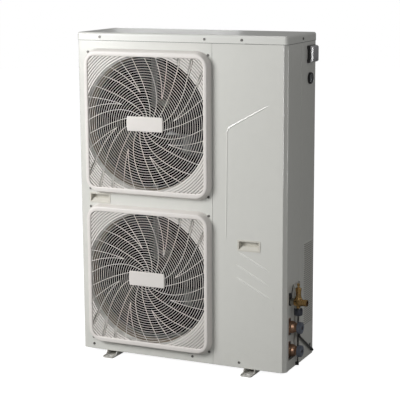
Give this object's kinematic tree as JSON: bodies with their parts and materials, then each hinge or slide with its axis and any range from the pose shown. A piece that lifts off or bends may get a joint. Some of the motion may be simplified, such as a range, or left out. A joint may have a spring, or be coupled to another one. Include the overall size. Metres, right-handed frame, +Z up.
{
  "type": "air-cooled chiller",
  "caption": "Free-standing air-cooled water chiller: tall sheet-metal cabinet with stacked front fans behind round wire grilles, wraparound coil, and water fittings low on the right side.",
  "frame": {"origin": "centre of the rectangle of the four foot slots, on the plane the foot rails stand on", "axes": "+Z up, +Y from the front grilles towards the back, +X from the viewer's left to right when facing the grilles, so the water fittings are on +X"},
  "size_m": [0.951, 0.4, 1.327],
  "materials": {
    "casing": "warm off-white powder coat, satin",
    "screw_steel": "dark plated screw heads",
    "foot_paint": "off-white paint on bent steel",
    "guard_wire": "grey-white coated wire",
    "galvanised": "zinc-coated sheet, dull spangle",
    "cream_moulding": "off-white moulding, slightly glossy",
    "grip_moulding": "off-white moulding",
    "motor_case": "dark coated cast aluminium",
    "shaft_steel": "ground steel",
    "plated_steel": "zinc plated",
    "fan_plastic": "black glass-filled plastic",
    "coil_fins": "dark coated aluminium fins",
    "copper": "copper tube, lightly dulled",
    "black_paint": "black enamel",
    "soft_rubber": "black rubber",
    "stainless": "pressed stainless plates",
    "pump_bronze": "coated casting",
    "vessel_red": "red paint",
    "board_green": "solder-masked board",
    "terminal_grey": "moulded terminal block",
    "ring_grey": "blue-grey plastic",
    "brass": "machined brass",
    "knob_grey": "dark grey plastic",
    "cable_black": "black sheath",
    "gauge_black": "black plastic",
    "needle_white": "white painted pointer",
    "gauge_glass": "clear window",
    "isolator_grey": "light grey plastic",
    "switch_black": "black plastic"
  },
  "bodies": {
    "chassis": {"top_cover": "casing", "lid_seal": "soft_rubber", "base_pan": "casing", "left_foot_rail": "foot_paint", "right_foot_rail": "foot_paint", "fan_panel": "casing", "upper_front_rail": "casing", "rear_side_panel": "casing", "rear_left_post": "casing", "rear_coil_guard": "guard_wire", "left_coil_guard": "guard_wire", "valve_plate": "casing", "partition": "galvanised", "upper_orifice": "cream_moulding", "lower_orifice": "cream_moulding", "upper_grille": "cream_moulding", "lower_grille": "cream_moulding", "motor_bracket": "galvanised", "upper_fan_motor": "motor_case", "lower_fan_motor": "motor_case", "condenser_coil": "coil_fins", "coil_return_bends": "copper", "compressor": "black_paint", "accumulator": "black_paint", "plate_heat_exchanger": "stainless", "pump_housing": "pump_bronze", "pump_motor": "motor_case", "expansion_vessel": "vessel_red", "refrigerant_lines": "copper", "water_pipes": "copper", "electrical_box": "galvanised", "control_board": "board_green", "power_terminals": "terminal_grey", "inlet_coupling": "copper", "outlet_coupling": "copper", "coupling_rings": "ring_grey", "valve_lock_nut": "plated_steel", "drain_valve": "brass", "drain_hose": "soft_rubber", "sensor_cable": "cable_black", "rubber_grommets": "soft_rubber", "gauge_case": "gauge_black", "gauge_glass": "gauge_glass", "isolator_base": "switch_black", "fan_panel_grip": "grip_moulding", "panel_screws": "screw_steel"},
    "upper_rotor": {"upper_fan_shaft": "shaft_steel", "upper_fan_nut": "plated_steel", "upper_fan": "fan_plastic"},
    "lower_rotor": {"lower_fan_shaft": "shaft_steel", "lower_fan_nut": "plated_steel", "lower_fan": "fan_plastic"},
    "pump_rotor": {"pump_impeller": "fan_plastic"},
    "service_cover": {"service_panel": "casing", "service_panel_grip": "grip_moulding", "service_panel_screw": "screw_steel"},
    "gauge_pointer": {"gauge_needle": "needle_white"},
    "isolator_lid": {"isolator_cover": "isolator_grey"},
    "isolator_switch": {"isolator_knob": "switch_black"},
    "drain_handle": {"drain_knob": "knob_grey"}
  },
  "joints": [
    {"name": "upper_fan_spin", "type": "hinge", "parent": "chassis", "child": "upper_rotor", "pos_m": [-0.129, 0, 0.973], "axis": [0, 1, 0], "continuous": true},
    {"name": "lower_fan_spin", "type": "hinge", "parent": "chassis", "child": "lower_rotor", "pos_m": [-0.129, 0, 0.346], "axis": [0, 1, 0], "continuous": true},
    {"name": "pump_spin", "type": "hinge", "parent": "chassis", "child": "pump_rotor", "pos_m": [0.38, 0, 0.58], "axis": [0, 1, 0], "continuous": true},
    {"name": "service_panel_pull", "type": "slide", "parent": "chassis", "child": "service_cover", "axis": [0, -1, 0], "range_m": [0, 0.4]},
    {"name": "gauge_needle_turn", "type": "hinge", "parent": "chassis", "child": "gauge_pointer", "pos_m": [0.462, 0.085, 1.152], "axis": [1, 0, 0], "range_deg": [0, 270]},
    {"name": "isolator_cover_swing", "type": "hinge", "parent": "chassis", "child": "isolator_lid", "pos_m": [0.46912, 0.0566, 1.246], "axis": [0, 0, -1], "range_deg": [0, 100]},
    {"name": "isolator_knob_turn", "type": "hinge", "parent": "chassis", "child": "isolator_switch", "pos_m": [0.468, 0.093, 1.246], "axis": [1, 0, 0], "range_deg": [0, 90]},
    {"name": "drain_knob_turn", "type": "hinge", "parent": "chassis", "child": "drain_handle", "pos_m": [0.474, -0.06, 0.243], "axis": [0, 0, 1], "range_deg": [0, 270]}
  ]
}
